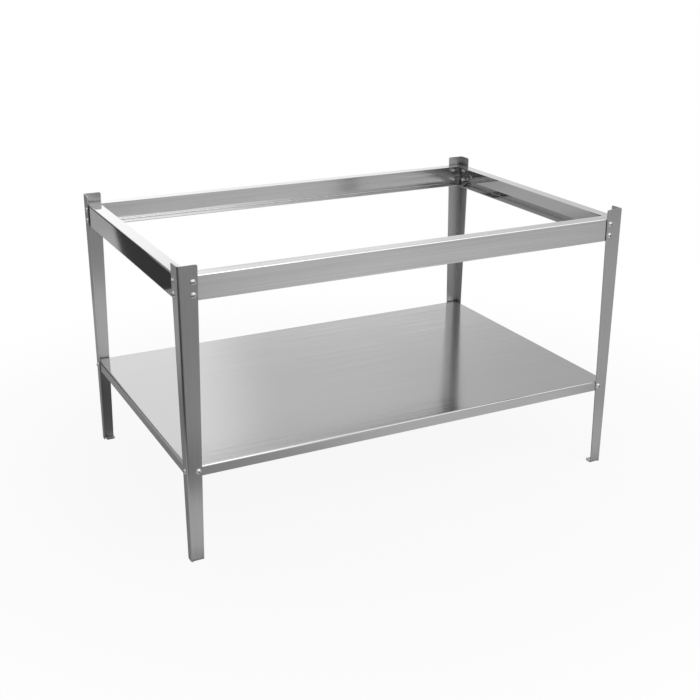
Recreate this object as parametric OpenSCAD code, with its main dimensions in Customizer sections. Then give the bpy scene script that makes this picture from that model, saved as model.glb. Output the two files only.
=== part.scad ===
// Grill stand in bent stainless sheet: four tapered angle legs, a frame of four channel rails
// and a lower shelf pan, bolted together at the legs. Millimetres, +Z up.
// The origin is on the floor, in the middle of the stand. -Y is the front.

/* [Overall size] */
// Width over the outside of the legs
stand_w = 1016; // [700:1:1500]
// Depth over the outside of the legs
stand_d = 652; // [400:1:900]
// Height from the floor to the tops of the legs
stand_h = 610; // [450:1:900]

/* [Legs] */
// Sheet thickness of the legs
leg_t = 2; // [1.5:0.1:3]
// Inside radius of the bends in the legs
leg_bend_r = 2; // [1.5:0.5:3]
// Width of the front or rear flange at the top
leg_front_top = 40; // [38:0.5:60]
// Width of the front or rear flange at the foot
leg_front_foot = 26.5; // [26:0.5:38]
// Width of the side flange at the top
leg_side_top = 34; // [33:0.5:60]
// Width of the side flange at the foot
leg_side_foot = 19; // [18:0.5:32]
// Radius of the free corners of the flanges
leg_corner_r = 4; // [1:0.5:6]
// How far the legs stand up above the frame, to keep the grill in place
leg_upstand = 20; // [10:1:40]

/* [Foot tabs] */
// Depth of the tab that is bent in at the foot
foot_tab_depth = 22; // [16:1:40]
// Radius of the tab's free corner
foot_tab_corner_r = 8; // [2:0.5:12]
// Width of the relief slot beside the tab
foot_relief_w = 1.5; // [1:0.1:3]
// How far the relief slot runs up past the bend
foot_relief_rise = 1.5; // [0.5:0.1:3]

/* [Frame rails] */
// Height of the rails
rail_h = 50; // [44:1:80]
// Depth of the rails' top and bottom flanges
rail_flange = 28; // [20:1:45]
// Sheet thickness of the rails
rail_t = 1.5; // [1:0.1:2.5]
// Inside radius of the bends in the rails
rail_bend_r = 1.5; // [1:0.5:3]
// Width of the slit between two rails at their mitred corner
mitre_gap = 0.6; // [0.4:0.1:2]
// Clearance between the end of a web and what stands in the corner of the leg
web_end_gap = 1; // [0.5:0.1:3]

/* [Lower shelf] */
// Height of the shelf's top face above the floor
shelf_top = 207; // [120:1:300]
// Height of the shelf's turned-down edges
shelf_skirt = 22; // [20:1:40]
// Sheet thickness of the shelf
shelf_t = 1.5; // [1:0.1:2.5]
// Inside radius of the shelf's bends
shelf_bend_r = 3; // [1.5:0.5:4]
// Clearance between the shelf's corner notch and its bends
shelf_notch_gap = 0.5; // [0.3:0.1:1]

/* [Bolts and nuts] */
// Diameter of the bolts
bolt_d = 6; // [5:0.5:8]
// Clearance all round a bolt in its hole
hole_gap = 0.3; // [0.2:0.1:0.6]
// Diameter of the bolts' domed heads
bolt_head_d = 12; // [10:0.5:13]
// Height of the bolts' heads
bolt_head_h = 3.6; // [2.5:0.1:4.5]
// Size of the hexagon socket across its flats
bolt_socket_af = 4; // [3:0.5:5]
// Depth of the hexagon socket
bolt_socket_depth = 2.2; // [1:0.1:2.4]
// Size of the cap nuts across their flats
nut_af = 10; // [10:0.5:12]
// Height of the hexagon of a cap nut
nut_hex_h = 5.5; // [4:0.1:7]
// Radius of the dome of a cap nut
nut_dome_r = 4.7; // [4.6:0.1:4.9]
// Height of the dome's centre above the hexagon
nut_dome_rise = 0.8; // [0.2:0.1:1.5]
// Gap all round the bolt's thread in the nut
thread_gap = 0.1; // [0.05:0.01:0.15]
// Space between the bolt's tip and the bottom of the nut's bore
bolt_tip_gap = 1; // [0.5:0.1:2]
// Distance between the two bolts at a rail end
rail_bolt_spacing = 25; // [20:1:30]
// Distance from the leg's outer corner to the rail bolts in the front or rear flange
rail_bolt_front = 30; // [25:0.5:31]
// Distance from the leg's outer corner to the rail bolts in the side flange
rail_bolt_side = 24; // [16:0.5:25]
// Distance from the leg's outer corner to the shelf bolt in the front or rear flange
shelf_bolt_front = 24; // [22:0.5:24.5]
// Distance from the leg's outer corner to the shelf bolt in the side flange
shelf_bolt_side = 12; // [11.5:0.5:16]

/* [Hidden] */
$fn = 48;

// Colours of brushed stainless sheet and of polished fasteners
leg_colour = [0.66, 0.67, 0.68];
rail_colour = [0.72, 0.73, 0.74];
shelf_colour = [0.78, 0.79, 0.80];
fastener_colour = [0.60, 0.61, 0.63];

// How far a cutter runs past the face that it cuts
past = 1;
// Number of steps in an arc of an outline
arc_steps = 8;

// Outside radii of the bends
leg_bend_out = leg_bend_r + leg_t;
rail_bend_out = rail_bend_r + rail_t;
shelf_bend_out = shelf_bend_r + shelf_t;

// Heights of the frame
rail_top = stand_h - leg_upstand;
rail_bottom = rail_top - rail_h;
rail_middle = rail_top - rail_h / 2;

// Lengths between the inner faces of the legs' flanges
inside_w = stand_w - 2 * leg_t;
inside_d = stand_d - 2 * leg_t;

// What is cut off a rail's web and off its mitred flanges
web_setback = max(leg_bend_r, rail_t) + web_end_gap;
mitre_setback = mitre_gap / sqrt(2);

// The corner notch of the shelf clears its own bends and the inside bend of the leg
shelf_notch = max(shelf_bend_out, leg_bend_r) + shelf_notch_gap;

// Places of the bolts: distance from the leg's outer corner along its flange, and height
rail_bolt_heights = [rail_middle - rail_bolt_spacing / 2, rail_middle + rail_bolt_spacing / 2];
shelf_bolt_z = shelf_top - shelf_skirt / 2;
rail_bolts_front = [for (z = rail_bolt_heights) [rail_bolt_front, z]];
rail_bolts_side = [for (z = rail_bolt_heights) [rail_bolt_side, z]];
shelf_bolts_front = [[shelf_bolt_front, shelf_bolt_z]];
shelf_bolts_side = [[shelf_bolt_side, shelf_bolt_z]];

// The tab starts beside the leg's long bend, with a relief slot between them
foot_tab_start = leg_bend_out + foot_relief_w;

// Sphere that gives a bolt head its height over its diameter
head_sphere_r = (pow(bolt_head_d / 2, 2) + pow(bolt_head_h, 2)) / (2 * bolt_head_h);
hole_d = bolt_d + 2 * hole_gap;
nut_bore_d = bolt_d + 2 * thread_gap;
nut_height = nut_hex_h + nut_dome_rise + nut_dome_r;
// The bore stops well inside the dome
nut_bore_depth = nut_height - nut_dome_r / 2;
bolt_in_nut = nut_bore_depth - bolt_tip_gap;
// The edges of the hexagon are cut to a cone of this rise
nut_chamfer = (nut_af / cos(30) - nut_af) / 2;

// Points of the arc of radius r that rounds corner b of the path a, b, c
function unit(v) = v / norm(v);
function turned(v, angle) = [v.x * cos(angle) - v.y * sin(angle), v.x * sin(angle) + v.y * cos(angle)];
function rounded(a, b, c, r) =
    let (
        to_a = unit(a - b),
        to_c = unit(c - b),
        half = acos(to_a * to_c) / 2,
        centre = b + unit(to_a + to_c) * r / sin(half),
        start = b + to_a * r / tan(half) - centre,
        end = b + to_c * r / tan(half) - centre,
        sweep = sign(start.x * end.y - start.y * end.x) * (180 - 2 * half)
    )
    [for (i = [0:arc_steps]) centre + turned(start, sweep * i / arc_steps)];

// Rectangle with the corner at the origin rounded to radius r
module corner_block(a, b, r) {
    translate([r, 0]) square([a - r, b]);
    translate([0, r]) square([a, b - r]);
    translate([r, r]) circle(r);
}

// Rectangle of width w and height h with its two left corners rounded to radius r
module bullnose(w, h, r) {
    translate([r, 0]) square([w - r, h]);
    translate([0, r]) square([w, h - 2 * r]);
    translate([r, r]) circle(r);
    translate([r, h - r]) circle(r);
}

// Section of a bent angle with its outer corner at the origin
module angle_section(a, b, t, r) {
    difference() {
        corner_block(a, b, r + t);
        translate([t, t]) corner_block(a, b, r);
    }
}

// Section of a bent channel: its web lies along y, its flanges run along +x
module channel_section(web, flange, t, r) {
    difference() {
        bullnose(flange, web, r + t);
        translate([t, t]) bullnose(flange, web - 2 * t, r);
    }
}

// Places the children, made for the front left corner with the leg's outer edge on the z axis,
// at any of the four corners
module at_corner(right, rear) {
    mirror([right ? 1 : 0, 0, 0])
        mirror([0, rear ? 1 : 0, 0])
            translate([-stand_w / 2, -stand_d / 2, 0])
                children();
}

// Upright outlines: the first two coordinates of the drawing become x and z, or y and z
module upright_front(depth) {
    translate([0, depth, 0]) rotate([90, 0, 0]) linear_extrude(height = depth) children();
}
module upright_side(depth) {
    rotate([90, 0, 90]) linear_extrude(height = depth) children();
}

// Bolt axes at one corner, pointing inwards from the outer face of the leg
module on_front_flange(places) {
    for (p = places) translate([p[0], 0, p[1]]) rotate([-90, 0, 0]) children();
}
module on_side_flange(places) {
    for (p = places) translate([0, p[0], p[1]]) rotate([0, 90, 0]) children();
}

// Outline of one tapered flange, its top free corner rounded. The foot's free corner is rounded
// too, or left square where the foot tab carries on from it
module flange_outline(top, foot, round_foot) {
    bottom_edge = [0, 0];
    foot_corner = [foot, 0];
    top_corner = [top, stand_h];
    top_edge = [0, stand_h];
    foot_points = round_foot ? rounded(bottom_edge, foot_corner, top_corner, leg_corner_r) : [foot_corner];
    polygon(concat(
        [bottom_edge],
        foot_points,
        rounded(foot_corner, top_corner, top_edge, leg_corner_r),
        [top_edge]));
}

// The tab bent in from the foot of the front flange: a quarter bend and a flat that stands on the floor
module foot_tab() {
    tab_w = leg_front_foot - foot_tab_start;
    straight = foot_tab_depth - foot_tab_corner_r;
    intersection() {
        translate([foot_tab_start, 0, 0])
            upright_side(tab_w) angle_section(foot_tab_depth, leg_bend_out + past, leg_t, leg_bend_r);
        linear_extrude(height = leg_bend_out) {
            translate([foot_tab_start, 0]) square([tab_w, straight]);
            translate([foot_tab_start, 0]) square([tab_w - foot_tab_corner_r, foot_tab_depth]);
            translate([leg_front_foot - foot_tab_corner_r, straight]) circle(foot_tab_corner_r);
        }
    }
}

// One leg, for the front left corner
module leg() {
    difference() {
        union() {
            difference() {
                intersection() {
                    linear_extrude(height = stand_h)
                        angle_section(max(leg_front_top, leg_front_foot), max(leg_side_top, leg_side_foot),
                            leg_t, leg_bend_r);
                    union() {
                        upright_front(leg_bend_out) flange_outline(leg_front_top, leg_front_foot, false);
                        upright_side(leg_bend_out) flange_outline(leg_side_top, leg_side_foot, true);
                    }
                }
                // The front flange stops where the tab's bend begins
                translate([foot_tab_start, -past, -past])
                    cube([leg_front_top, leg_bend_out + past, leg_bend_out + past]);
                // The relief slot beside the tab
                translate([leg_bend_out, -past, -past])
                    cube([foot_relief_w, leg_t + 2 * past, leg_bend_out + foot_relief_rise + past]);
            }
            foot_tab();
        }
        on_front_flange(concat(rail_bolts_front, shelf_bolts_front)) bolt_hole(leg_t);
        on_side_flange(concat(rail_bolts_side, shelf_bolts_side)) bolt_hole(leg_t);
    }
}

// A clearance hole through a sheet that lies between z = 0 and z = t
module bolt_hole(t) {
    translate([0, 0, -past]) cylinder(d = hole_d, h = t + 2 * past);
}

// Plan of a rail, its outer face along y = 0: mitred flanges, and a web cut square at each end
module rail_plan(length) {
    half = length / 2;
    web_end = half - web_setback;
    flange_end = half - rail_flange - mitre_setback;
    mitre_start = web_setback - mitre_setback;
    polygon([
        [-web_end, 0], [web_end, 0], [web_end, mitre_start], [flange_end, rail_flange],
        [-flange_end, rail_flange], [-web_end, mitre_start]]);
}

// One rail, made along x with the outer face of its web in the plane y = 0 and its foot on z = 0
module rail(length) {
    intersection() {
        translate([-length / 2, 0, 0])
            upright_side(length) channel_section_upright();
        linear_extrude(height = rail_h) rail_plan(length);
    }
}
module channel_section_upright() {
    channel_section(rail_h, rail_flange, rail_t, rail_bend_r);
}

// Front rail, drilled at both ends from the outer face of the legs
module front_or_rear_rail() {
    difference() {
        translate([0, -stand_d / 2 + leg_t, rail_bottom]) rail(inside_w);
        for (right = [false, true])
            at_corner(right, false)
                on_front_flange(rail_bolts_front) bolt_hole(leg_t + rail_t);
    }
}

// Left rail, drilled at both ends from the outer face of the legs
module left_or_right_rail() {
    difference() {
        translate([-stand_w / 2 + leg_t, 0, rail_bottom]) rotate([0, 0, -90]) rail(inside_d);
        for (rear = [false, true])
            at_corner(false, rear)
                on_side_flange(rail_bolts_side) bolt_hole(leg_t + rail_t);
    }
}

// Half of the shelf pan: a sheet as wide as the stand inside one pair of legs, with two edges
// turned down, made along x
module shelf_channel(length, width) {
    translate([-length / 2, 0, shelf_top])
        rotate([90, 0, 90])
            linear_extrude(height = length)
                rotate(-90)
                    translate([0, -width / 2])
                        channel_section(width, shelf_skirt, shelf_t, shelf_bend_r);
}

// The lower shelf: two such halves crossed, so that a square notch is left at each corner
module shelf_pan() {
    difference() {
        union() {
            shelf_channel(inside_w - 2 * shelf_notch, inside_d);
            rotate([0, 0, 90]) shelf_channel(inside_d - 2 * shelf_notch, inside_w);
        }
        for (right = [false, true], rear = [false, true])
            at_corner(right, rear) {
                on_front_flange(shelf_bolts_front) bolt_hole(leg_t + shelf_t);
                on_side_flange(shelf_bolts_side) bolt_hole(leg_t + shelf_t);
            }
    }
}

// Button head bolt: the head sits on z = 0 and the shank runs through the sheets and into the nut
module bolt(grip) {
    difference() {
        union() {
            intersection() {
                translate([0, 0, head_sphere_r - bolt_head_h]) sphere(head_sphere_r);
                translate([0, 0, -bolt_head_h]) cylinder(d = bolt_head_d + past, h = bolt_head_h);
            }
            cylinder(d = bolt_d, h = grip + bolt_in_nut);
        }
        translate([0, 0, -bolt_head_h - past])
            cylinder(d = bolt_socket_af / cos(30), h = bolt_socket_depth + past, $fn = 6);
    }
}

// Cap nut on the far side of the sheets: a hexagon with coned edges and a round dome
module cap_nut(grip) {
    translate([0, 0, grip])
        difference() {
            union() {
                intersection() {
                    cylinder(d = nut_af / cos(30), h = nut_hex_h, $fn = 6);
                    union() {
                        cylinder(d1 = nut_af, d2 = nut_af / cos(30), h = nut_chamfer);
                        translate([0, 0, nut_chamfer])
                            cylinder(d = nut_af / cos(30), h = nut_hex_h - 2 * nut_chamfer);
                        translate([0, 0, nut_hex_h - nut_chamfer])
                            cylinder(d1 = nut_af / cos(30), d2 = nut_af, h = nut_chamfer);
                    }
                }
                cylinder(r = nut_dome_r, h = nut_hex_h + nut_dome_rise);
                translate([0, 0, nut_hex_h + nut_dome_rise]) sphere(nut_dome_r);
            }
            // Nothing of the dome reaches below the seat
            translate([0, 0, -nut_height]) cylinder(r = nut_af, h = nut_height);
            translate([0, 0, -past]) cylinder(d = nut_bore_d, h = nut_bore_depth + past);
        }
}

// The fasteners of one corner
module rail_bolts() {
    color(fastener_colour) {
        on_front_flange(rail_bolts_front) bolt(leg_t + rail_t);
        on_side_flange(rail_bolts_side) bolt(leg_t + rail_t);
    }
}
module rail_nuts() {
    color(fastener_colour) {
        on_front_flange(rail_bolts_front) cap_nut(leg_t + rail_t);
        on_side_flange(rail_bolts_side) cap_nut(leg_t + rail_t);
    }
}
module shelf_bolts() {
    color(fastener_colour) {
        on_front_flange(shelf_bolts_front) bolt(leg_t + shelf_t);
        on_side_flange(shelf_bolts_side) bolt(leg_t + shelf_t);
    }
}
module shelf_nuts() {
    color(fastener_colour) {
        on_front_flange(shelf_bolts_front) cap_nut(leg_t + shelf_t);
        on_side_flange(shelf_bolts_side) cap_nut(leg_t + shelf_t);
    }
}

// The sub-parts
module front_left_leg() color(leg_colour) at_corner(false, false) leg();
module front_right_leg() color(leg_colour) at_corner(true, false) leg();
module rear_left_leg() color(leg_colour) at_corner(false, true) leg();
module rear_right_leg() color(leg_colour) at_corner(true, true) leg();
module front_rail() color(rail_colour) front_or_rear_rail();
module rear_rail() color(rail_colour) mirror([0, 1, 0]) front_or_rear_rail();
module left_rail() color(rail_colour) left_or_right_rail();
module right_rail() color(rail_colour) mirror([1, 0, 0]) left_or_right_rail();
module lower_shelf() color(shelf_colour) shelf_pan();

front_left_leg();
front_right_leg();
rear_left_leg();
rear_right_leg();
front_rail();
rear_rail();
left_rail();
right_rail();
lower_shelf();
at_corner(false, false) rail_bolts();  // front_left_rail_bolts
at_corner(true, false) rail_bolts();  // front_right_rail_bolts
at_corner(false, true) rail_bolts();  // rear_left_rail_bolts
at_corner(true, true) rail_bolts();  // rear_right_rail_bolts
at_corner(false, false) rail_nuts();  // front_left_rail_nuts
at_corner(true, false) rail_nuts();  // front_right_rail_nuts
at_corner(false, true) rail_nuts();  // rear_left_rail_nuts
at_corner(true, true) rail_nuts();  // rear_right_rail_nuts
at_corner(false, false) shelf_bolts();  // front_left_shelf_bolts
at_corner(true, false) shelf_bolts();  // front_right_shelf_bolts
at_corner(false, true) shelf_bolts();  // rear_left_shelf_bolts
at_corner(true, true) shelf_bolts();  // rear_right_shelf_bolts
at_corner(false, false) shelf_nuts();  // front_left_shelf_nuts
at_corner(true, false) shelf_nuts();  // front_right_shelf_nuts
at_corner(false, true) shelf_nuts();  // rear_left_shelf_nuts
at_corner(true, true) shelf_nuts();  // rear_right_shelf_nuts
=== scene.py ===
"""Looks of the grill stand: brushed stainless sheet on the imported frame, in a plain pale studio.

Lengths are metres. The stand stands on z = 0 with its front towards -Y.
"""

import math

import bpy
from mathutils import Matrix, Vector

MM = 0.001

# The camera, fitted to the edges of the legs, rails and shelf in the 700 pixel wide photograph
CAMERA_PLACE = (-1.1097, -2.1870, 1.1863)
CAMERA_AZIMUTH = 0.4730
CAMERA_DIP = 0.3630
CAMERA_ROLL = -0.0048
FOCAL_PIXELS = 1121.6
PHOTO_PIXELS = 700
SENSOR_MM = 36.0
CAMERA_NEAR = 0.05
CAMERA_FAR = 100.0

# Painted shade in corners: how far it reaches from each kind of piece, and how dark it gets
SHEET_SHADE_REACH = 13 * MM
BOLT_SHADE_REACH = 4 * MM
NUT_SHADE_REACH = 2 * MM
DARKEST_CORNER_SHARE = 0.12
SHADE_FULL_AIR = 0.15
SHADE_GONE_AIR = 0.8
SHADE_RAYS = 8

# Marks of the belt: noise cells per metre across and along the grain
HAIR_LINES = (2500.0, 3.0)
BELT_MARKS = (300.0, 1.2)
SLOW_CLOUDS = (9.0, 2.5)

# How much the belt marks and the clouds shift the colour for each unit that the hair lines do
BELT_SHARE = 2.0
CLOUD_SHARE = 1.2

# The darkest and the lightest streak as shares of the tone, the lightest also that of the painted
# highlight on bends, and the change of roughness
DARK_STREAK = 0.55
LIGHT_STREAK_AND_HIGHLIGHT = 1.45
ROUGHNESS_CHANGE = 0.4

# Where the painted highlight on a bend starts and where it is full: 0 is a flat face, 1 is the bend's
# middle
BEND_START = 0.3
BEND_FULL = 0.8

# Turned steel: noise cells per metre and what each noise adds to the colour
FINE_GRAIN = 1400.0
FINE_SHARE = 0.3
TUMBLED_PATCHES = 160.0
PATCH_SHARE = 0.5

# Turned steel: the darkest and the lightest share of the tone, the change of roughness, the dents
TURNED_DARK = 0.8
TURNED_LIGHT = 1.15
TURNED_CHANGE = 0.12
DENT_DEPTH = 0.03 * MM
DENT_STRENGTH = 0.2

# The floor: its half size, how far it lies under the feet, its grey, and the grey of the painted shade
# that only the steel mirrors
FLOOR_HALF = 12.0
FLOOR_DROP = 0.2 * MM
LIT_PAPER = 0.93
PAINTED_SHADE_GREY = 0.2

# Near the stand this share of the lit paper shows, so that the camera finds a faint shadow
SHADOW_SHARE = 0.08
SHADOW_FULL = 0.5
SHADOW_GONE = 1.4

# Light levels of the studio's room: 1 mirrors as plain white
ROOM_FOR_FLOOR = 0.28
ROOM_IN_FRONT = 0.55
WINDOW_LEVEL = 1.4
CEILING_LEVEL = 0.7
FLAG_LEVEL = 0.048
FLAG_RISE = 1 * MM

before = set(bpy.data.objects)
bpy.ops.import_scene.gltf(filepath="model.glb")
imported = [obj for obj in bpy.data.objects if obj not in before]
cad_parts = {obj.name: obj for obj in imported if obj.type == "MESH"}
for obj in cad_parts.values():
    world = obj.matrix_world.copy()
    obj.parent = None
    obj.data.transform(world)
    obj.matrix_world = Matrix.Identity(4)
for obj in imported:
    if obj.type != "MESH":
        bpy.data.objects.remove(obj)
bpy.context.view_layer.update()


class Signal:
    """A socket of a node tree with arithmetic on it: each operation adds one Math node."""

    def __init__(self, tree, socket):
        self.tree = tree
        self.socket = socket

    def of(self, name):
        """Another output of the same node."""
        return Signal(self.tree, self.socket.node.outputs[name])

    def math(self, operation, *others):
        """One Math node with this signal first."""
        names = ("Value", "Value_001")
        inputs = dict(zip(names, (self, *others)))
        return self.tree.add("ShaderNodeMath", {"operation": operation}, inputs)

    def __add__(self, other):
        return self.math("ADD", other)

    def __mul__(self, other):
        return self.math("MULTIPLY", other)

    def __sub__(self, other):
        return self.math("SUBTRACT", other)

    def __rsub__(self, other):
        inputs = {"Value": other, "Value_001": self}
        return self.tree.add("ShaderNodeMath", {"operation": "SUBTRACT"}, inputs)

    def most(self, other):
        """The larger of the two."""
        return self.math("MAXIMUM", other)

    def size(self):
        """The value without its sign."""
        return self.math("ABSOLUTE")

    def step(self, start, end):
        """0 up to start, 1 from end, and a smooth rise between them."""
        settings = {"interpolation_type": "SMOOTHSTEP"}
        inputs = {"Value": self, "From Min": start, "From Max": end}
        return self.tree.add("ShaderNodeMapRange", settings, inputs)


class NodeTree:
    """The nodes of one material, or of the world."""

    def __init__(self, owner):
        owner.use_nodes = True
        self.nodes = owner.node_tree.nodes
        self.links = owner.node_tree.links
        self.nodes.clear()

    def add(self, kind, settings=None, inputs=None):
        """Adds a node, sets it up, fills its sockets with values or links and gives its first output."""
        node = self.nodes.new(kind)
        for name, value in (settings or {}).items():
            setattr(node, name, value)
        for name, value in (inputs or {}).items():
            socket = next(s for s in node.inputs if name in (s.identifier, s.name))
            if isinstance(value, Signal):
                self.links.new(value.socket, socket)
            else:
                socket.default_value = value
        shown = [s for s in node.outputs if s.enabled]
        return Signal(self, shown[0]) if shown else None

    def vector(self, operation, first, second=(0.0, 0.0, 0.0)):
        """One step of vector arithmetic."""
        inputs = {"Vector": first, "Vector_001": second}
        return self.add("ShaderNodeVectorMath", {"operation": operation}, inputs)

    def parts(self, vector):
        """The x, y and z of a vector."""
        split = self.add("ShaderNodeSeparateXYZ", None, {"Vector": vector})
        return [split.of(axis) for axis in "XYZ"]

    def blend(self, factor, low, high):
        """Colour low where the factor is 0, and high where it is 1."""
        inputs = {"Factor_Float": factor, "A_Color": low, "B_Color": high}
        return self.add("ShaderNodeMix", {"data_type": "RGBA"}, inputs)

    def noise(self, vector, scale, detail, roughness=0.5):
        """Smooth noise between 0 and 1, with about scale cells for each unit of the vector."""
        inputs = {"Vector": vector, "Scale": scale, "Detail": detail, "Roughness": roughness}
        return self.add("ShaderNodeTexNoise", {"noise_dimensions": "3D"}, inputs)

    def rays(self):
        """Two masks: rays that the camera sees straight or through something, and mirrored rays."""
        path = self.add("ShaderNodeLightPath")
        return path.of("Is Camera Ray").most(path.of("Is Transmission Ray")), path.of("Is Glossy Ray")

    def finish(self, shader, kind="ShaderNodeOutputMaterial"):
        """Links the shader to the output."""
        self.add(kind, None, {"Surface": shader})


def grey(level):
    """A neutral grey."""
    return (level, level, level, 1.0)


# Finishes

def shaded_in_corners(tree, steel, tone, reach):
    """The steel's colour with painted shade: darkened where another face stands closer than reach."""
    occlusion = tree.add("ShaderNodeAmbientOcclusion", {"samples": SHADE_RAYS}, {"Distance": reach})
    unshaded = occlusion.of("AO").step(SHADE_FULL_AIR, SHADE_GONE_AIR)
    return tree.blend(unshaded, grey(tone * DARKEST_CORNER_SHARE), steel)


def brushed_steel(name, grain, tone, roughness, spread, streak, sideways=0.0, bend_highlight_paint=0.0):
    """Sheet ground with a belt along the axis named by grain, 'X', 'Y' or 'Z'.

    Three layers of noise, each stretched along the grain: hair lines of about half a millimetre,
    belt marks of a few millimetres, and slow clouds. All three shift the colour, by streak, and the
    last two shift the roughness. The hair lines also tilt the surface across the grain, by spread,
    so that it mirrors blurred across the grain and clearer along it. On upright sheet, sideways
    blurs it level as well. Shade is painted into the colour where another face stands close to it,
    and the last argument paints a highlight on the bends along the grain.
    """
    material = bpy.data.materials.new(name)
    tree = NodeTree(material)
    place = tree.add("ShaderNodeTexCoord").of("Object")
    along = "XYZ".index(grain)

    def layer(cells, fineness):
        across_scale, along_scale = cells
        factors = [across_scale] * 3
        factors[along] = along_scale
        return tree.noise(tree.vector("MULTIPLY", place, factors), 1.0, 2.0, fineness)

    hair = layer(HAIR_LINES, 0.6)
    belt = layer(BELT_MARKS, 0.5)
    cloud = layer(SLOW_CLOUDS, 0.5)
    shift = (hair - 0.5) * streak
    shift = shift + (belt - 0.5) * (BELT_SHARE * streak) + (cloud - 0.5) * (CLOUD_SHARE * streak)

    # A bend is where the surface faces partly along both of the axes across the grain
    flat = tree.add("ShaderNodeNewGeometry").of("Normal")
    facing = tree.parts(flat)
    facing.pop(along)
    # A highlight is painted on the bends, as strong as the last argument says
    bend = (facing[0].size() * facing[1].size() * 2.0).step(BEND_START, BEND_FULL) * bend_highlight_paint

    ground_and_highlight = tree.blend(shift + bend + 0.5, grey(tone * DARK_STREAK), grey(tone * LIGHT_STREAK_AND_HIGHLIGHT))
    # Shade is painted into the colour where another face stands close
    colour = shaded_in_corners(tree, ground_and_highlight, tone, SHEET_SHADE_REACH)
    change = (belt - 0.5) * ROUGHNESS_CHANGE + (cloud - 0.5) * ROUGHNESS_CHANGE
    rough = (change + 1.0) * roughness

    tilt = [spread] * 3
    tilt[along] = 0.0
    scratches = tree.vector("SUBTRACT", hair.of("Color"), (0.5, 0.5, 0.5))
    scratches = tree.vector("MULTIPLY", scratches, tilt)
    normal = tree.vector("NORMALIZE", tree.vector("ADD", flat, scratches))
    tree.finish(tree.add("ShaderNodeBsdfPrincipled", None, {
        "Base Color": colour, "Metallic": 1.0, "Roughness": rough, "Anisotropic": sideways,
        "Normal": normal}))
    return material


def turned_steel(name, tone, roughness, reach):
    """Bolts and nuts: bright steel with a fine even grain from forming and tumbling."""
    material = bpy.data.materials.new(name)
    tree = NodeTree(material)
    place = tree.add("ShaderNodeTexCoord").of("Object")
    fine = tree.noise(place, FINE_GRAIN, 3.0, 0.6)
    patch = tree.noise(place, TUMBLED_PATCHES, 2.0)
    shift = fine * FINE_SHARE + patch * PATCH_SHARE
    bright = tree.blend(shift, grey(tone * TURNED_DARK), grey(tone * TURNED_LIGHT))
    # Shade is painted into the colour where another face stands close
    colour = shaded_in_corners(tree, bright, tone, reach)
    rough = (fine - 0.5) * TURNED_CHANGE + (patch - 0.5) * TURNED_CHANGE + roughness
    dents = {"Strength": DENT_STRENGTH, "Distance": DENT_DEPTH, "Height": fine}
    normal = tree.add("ShaderNodeBump", None, dents)
    tree.finish(tree.add("ShaderNodeBsdfPrincipled", None, {
        "Base Color": colour, "Metallic": 1.0, "Roughness": rough, "Normal": normal}))
    return material


LEG_STEEL = brushed_steel(
    "leg_steel", "Z", tone=0.62, roughness=0.34, spread=0.15, streak=0.13, sideways=0.85)
LONG_RAIL_STEEL = brushed_steel(
    "long_rail_steel", "X", tone=0.72, roughness=0.16, spread=0.3, streak=0.2, bend_highlight_paint=0.5)
SHORT_RAIL_STEEL = brushed_steel(
    "short_rail_steel", "Y", tone=0.65, roughness=0.05, spread=0.0, streak=0.06)
SHELF_STEEL = brushed_steel(
    "shelf_steel", "X", tone=0.65, roughness=0.12, spread=0.2, streak=0.02)
BOLT_STEEL = turned_steel("bolt_steel", tone=0.92, roughness=0.28, reach=BOLT_SHADE_REACH)
NUT_STEEL = turned_steel("nut_steel", tone=1.0, roughness=0.24, reach=NUT_SHADE_REACH)


def dress(node, material):
    """Gives a piece of the frame its finish."""
    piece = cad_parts[node]
    piece.data.materials.clear()
    piece.data.materials.append(material)


for corner in ("front_left", "front_right", "rear_left", "rear_right"):
    dress(corner + "_leg", LEG_STEEL)
    for joint in ("rail", "shelf"):
        dress(corner + "_" + joint + "_bolts", BOLT_STEEL)
        dress(corner + "_" + joint + "_nuts", NUT_STEEL)
for side in ("front", "rear"):
    dress(side + "_rail", LONG_RAIL_STEEL)
for side in ("left", "right"):
    dress(side + "_rail", SHORT_RAIL_STEEL)
dress("lower_shelf", SHELF_STEEL)


# Studio

def strongest(masks):
    """The largest of the masks at each place."""
    result = masks[0]
    for mask in masks[1:]:
        result = result.most(mask)
    return result


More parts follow.
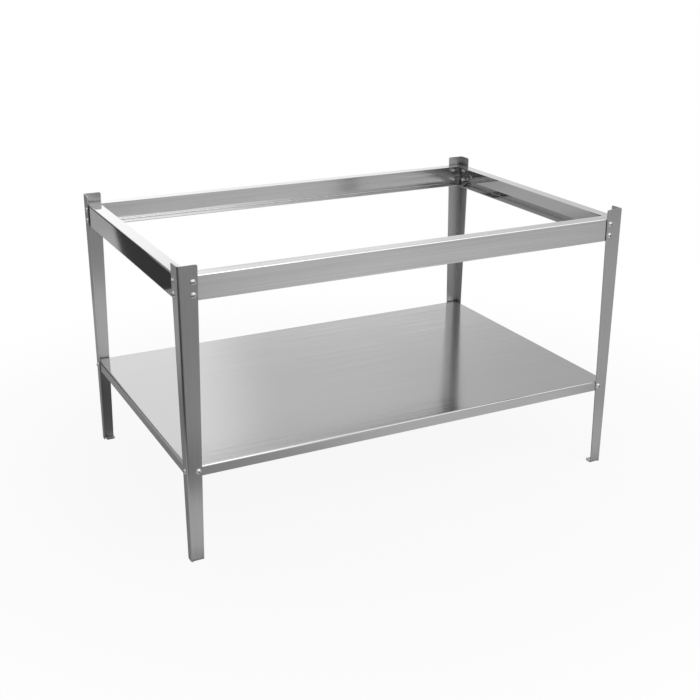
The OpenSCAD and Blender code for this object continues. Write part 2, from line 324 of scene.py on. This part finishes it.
class FloorMap:
    """Soft-edged patches of painted light and painted shade on the floor, as masks."""

    def __init__(self, place):
        self.rightward, self.rearward, _ = place.tree.parts(place)

    def patch(self, strength, left=None, right=None, front=None, rear=None):
        """A mask of that strength between its edges.

        Each edge is the pair of places between which the mask rises or falls, counted to the right
        or to the rear. On a side without an edge the patch has no end.
        """
        mask = strength
        sides = ((self.rightward, left, right), (self.rearward, front, rear))
        for axis, rise, fall in sides:
            if rise:
                mask = axis.step(*rise) * mask
            if fall:
                mask = (1.0 - axis.step(*fall)) * mask
        return mask

    def painted_glow(self):
        """Painted light: patches where the floor glows white to mirrored rays only, so the steel mirrors
        them instead of the paper.
        """
        patch = self.patch
        return strongest([
            # Behind the stand, for the inner faces on the right
            patch(1.0, left=(-0.8, 0.0), front=(1.1, 1.9)),
            # Far behind on every side, for the right rail's inner face
            patch(0.3, front=(1.4, 1.8)) - patch(0.1, front=(2.1, 2.4)),
            # Behind on the left, for the left face of the front left leg
            patch(0.6, right=(-1.0, -0.78), front=(0.35, 0.6), rear=(1.1, 1.4)),
            # In front, for the lower parts of the faces that look forward
            patch(0.22, left=(-0.5, 0.2), front=(-1.3, -0.9), rear=(-0.4, -0.3)),
            # Close in front on the left, for the front left foot
            patch(0.3, right=(-0.3, 0.0), front=(-0.63, -0.55), rear=(-0.4, -0.3))])

    def painted_shade(self):
        """Painted shade: patches where the paper is painted darker for mirrored rays only."""
        patch = self.patch

        # Behind the stand, for the inner faces of the right legs, without the corner on the left that
        # the shelf's left edge mirrors
        behind = patch(1.0, left=(-0.74, -0.64), right=(0.3, 0.5), front=(0.4, 0.55), rear=(1.35, 1.75))
        behind = behind * (self.rightward + self.rearward * 0.5).step(-0.22, -0.16)

        # On the right, for the front of the front right leg, and stronger towards the stand
        beside = {"left": (0.65, 0.8), "right": (1.3, 1.7), "rear": (0.2, 0.4)}
        beside = patch(0.52, front=(-0.75, -0.6), **beside) + patch(0.28, front=(-1.6, -1.3), **beside)

        return strongest([
            # Painted shadow under the shelf, for the lower parts of the rear legs
            patch(0.8, left=(-0.55, -0.4), right=(0.4, 0.55), front=(-0.4, -0.25), rear=(0.25, 0.4)),
            behind,
            beside,
            # For the left half of the shelf's front edge
            patch(0.4, right=(-0.2, 0.25), front=(-0.85, -0.75), rear=(-0.62, -0.58)),
            # For the left end of the front rail
            patch(0.1, left=(0.0, 0.12), right=(0.1, 0.9), rear=(-1.7, -1.5)),
            # For the bend of the front right leg
            patch(1.0, left=(1.45, 1.6), right=(2.4, 2.8), front=(-1.1, -0.8), rear=(0.4, 0.7))])


def white_floor():
    """A pale paper floor.

    The camera sees it run out into plain white and finds a faint shadow near the stand. The steel
    mirrors the lit paper, with patches of painted light and painted shade as in the studio of the
    photograph.
    """
    mesh = bpy.data.meshes.new("floor")
    signs = ((-1, -1), (1, -1), (1, 1), (-1, 1))
    corners = [(x * FLOOR_HALF, y * FLOOR_HALF, -FLOOR_DROP) for x, y in signs]
    mesh.from_pydata(corners, [], [(0, 1, 2, 3)])
    floor = bpy.data.objects.new("floor", mesh)
    bpy.context.scene.collection.objects.link(floor)
    material = bpy.data.materials.new("pale_floor")
    tree = NodeTree(material)
    place = tree.add("ShaderNodeTexCoord").of("Object")
    distance = tree.vector("LENGTH", place).of("Value")
    direct, glossy = tree.rays()
    floor_map = FloorMap(place)
    shadowless = distance.step(SHADOW_FULL, SHADOW_GONE) * SHADOW_SHARE + (1.0 - SHADOW_SHARE)
    # For mirrored rays the floor glows white in the painted light patches
    white = direct * shadowless + glossy * floor_map.painted_glow()
    # For mirrored rays the paper is painted darker in the painted shade patches
    colour = tree.blend(glossy * floor_map.painted_shade(), grey(LIT_PAPER), grey(PAINTED_SHADE_GREY))
    paper = tree.add("ShaderNodeBsdfDiffuse", None, {"Color": colour})
    glow = tree.add("ShaderNodeEmission", None, {"Color": grey(1.0), "Strength": 1.0})
    inputs = {"Fac": white, "Shader": paper, "Shader_001": glow}
    tree.finish(tree.add("ShaderNodeMixShader", None, inputs))
    mesh.materials.append(material)


def softbox(name, place, target, width, height, radiance):
    """An area light at a place, facing the target. The steel doesn't mirror it.

    A radiance of 1 is that of plain white.
    """
    lamp = bpy.data.lights.new(name, "AREA")
    lamp.shape = "RECTANGLE"
    lamp.size = width
    lamp.size_y = height
    lamp.energy = radiance * math.pi * width * height
    box = bpy.data.objects.new(name, lamp)
    bpy.context.scene.collection.objects.link(box)
    aim = Vector(target) - Vector(place)
    turn = aim.to_track_quat("-Z", "Y").to_matrix().to_4x4()
    box.matrix_world = Matrix.Translation(place) @ turn
    box.visible_glossy = False


def dark_flag(name, corners):
    """A dark card that only the steel mirrors: neither the camera nor the floor sees it."""
    mesh = bpy.data.meshes.new(name)
    mesh.from_pydata(corners, [], [tuple(range(len(corners)))])
    flag = bpy.data.objects.new(name, mesh)
    bpy.context.scene.collection.objects.link(flag)
    material = bpy.data.materials.new(name)
    tree = NodeTree(material)
    inputs = {"Color": grey(1.0), "Strength": FLAG_LEVEL}
    tree.finish(tree.add("ShaderNodeEmission", None, inputs))
    mesh.materials.append(material)
    flag.visible_camera = False
    flag.visible_diffuse = False
    flag.visible_shadow = False
    flag.visible_transmission = False


def flag_on_floor(name, outline):
    """A dark card lying just above the floor."""
    dark_flag(name, [(x, y, FLAG_RISE) for x, y in outline])


def flag_behind(name, rearward, outline):
    """A dark card that stands upright behind the stand, its outline in x and z."""
    dark_flag(name, [(x, rearward, z) for x, z in outline])


def studio_room():
    """The world: white to the camera, and to the steel a bright backdrop behind and a dim room in front.

    Places in it are parts of the ray's direction, from -1 to 1.
    """
    world = bpy.data.worlds.new("studio_room")
    bpy.context.scene.world = world
    tree = NodeTree(world)
    right, rearward, up = tree.parts(tree.add("ShaderNodeTexCoord").of("Generated"))
    direct, glossy = tree.rays()

    # The backdrop fades to the left and to the right, less so in its high part
    leftward = 1.0 - right.step(-0.35, 0.17)
    low = 1.38 - right.step(0.15, 0.40) * 0.28 - right.step(0.45, 0.62) * 0.35 - leftward * 1.0
    high = 0.96 - right.step(0.29, 0.36) * 0.30 - right.step(0.42, 0.60) * 0.14 - leftward * 0.35
    rise = up.step(0.26, 0.335)
    backdrop = low * (1.0 - rise) + high * rise

    # The room in front has a tall window right of its middle and a light ceiling, and dims to the left
    window = right.step(0.14, 0.22) * (1.0 - right.step(0.31, 0.42))
    window = window * up.step(0.1, 0.2) * (1.0 - up.step(0.6, 0.85))
    ceiling = up.step(0.55, 0.75) * (1.0 - up.step(0.92, 0.97))
    left_side = 1.0 - right.step(-0.45, -0.1)
    room = window * WINDOW_LEVEL + ceiling * CEILING_LEVEL - left_side * 0.12 + ROOM_IN_FRONT

    behind = rearward.step(-0.1, 0.4)
    mirrored = behind * backdrop + (1.0 - behind) * room
    level = direct + glossy * mirrored + (1.0 - direct - glossy) * ROOM_FOR_FLOOR
    background = tree.add("ShaderNodeBackground", None, {"Color": grey(1.0), "Strength": level})
    tree.finish(background, "ShaderNodeOutputWorld")


def camera():
    """The photograph's camera: it looks along the azimuth, dips and rolls a little."""
    ahead = Vector((math.sin(CAMERA_AZIMUTH) * math.cos(CAMERA_DIP),
                    math.cos(CAMERA_AZIMUTH) * math.cos(CAMERA_DIP),
                    -math.sin(CAMERA_DIP)))
    level_right = Vector((math.cos(CAMERA_AZIMUTH), -math.sin(CAMERA_AZIMUTH), 0.0))
    level_down = ahead.cross(level_right)
    right = math.cos(CAMERA_ROLL) * level_right + math.sin(CAMERA_ROLL) * level_down
    down = math.cos(CAMERA_ROLL) * level_down - math.sin(CAMERA_ROLL) * level_right
    turn = Matrix((right, -down, -ahead)).transposed().to_4x4()
    data = bpy.data.cameras.new("photo_camera")
    data.sensor_width = SENSOR_MM
    data.lens = FOCAL_PIXELS / PHOTO_PIXELS * SENSOR_MM
    data.clip_start = CAMERA_NEAR
    data.clip_end = CAMERA_FAR
    view = bpy.data.objects.new("photo_camera", data)
    view.matrix_world = Matrix.Translation(CAMERA_PLACE) @ turn
    bpy.context.scene.collection.objects.link(view)
    bpy.context.scene.camera = view


white_floor()
studio_room()
softbox("key_light", place=(0.8, -1.9, 2.0), target=(0.8, -1.8, 0.0), width=1.8, height=0.9, radiance=3.6)
flag_on_floor("floor_flag", [(-3.2, -3.0), (-1.08, -3.0), (-1.08, 0.2), (-3.2, 1.4)])
flag_on_floor("front_flag", [
    (-1.08, -3.0), (0.10, -3.0), (0.05, -2.0), (-0.42, -1.0), (-0.42, -0.67), (-1.08, -0.67)])
flag_behind("rear_flag", 1.4, [
    (-1.15, 0.0), (-0.90, 0.0), (-0.826, 0.4), (-0.826, 1.9), (-1.15, 1.9)])
camera()

bpy.context.scene.view_settings.view_transform = "Standard"
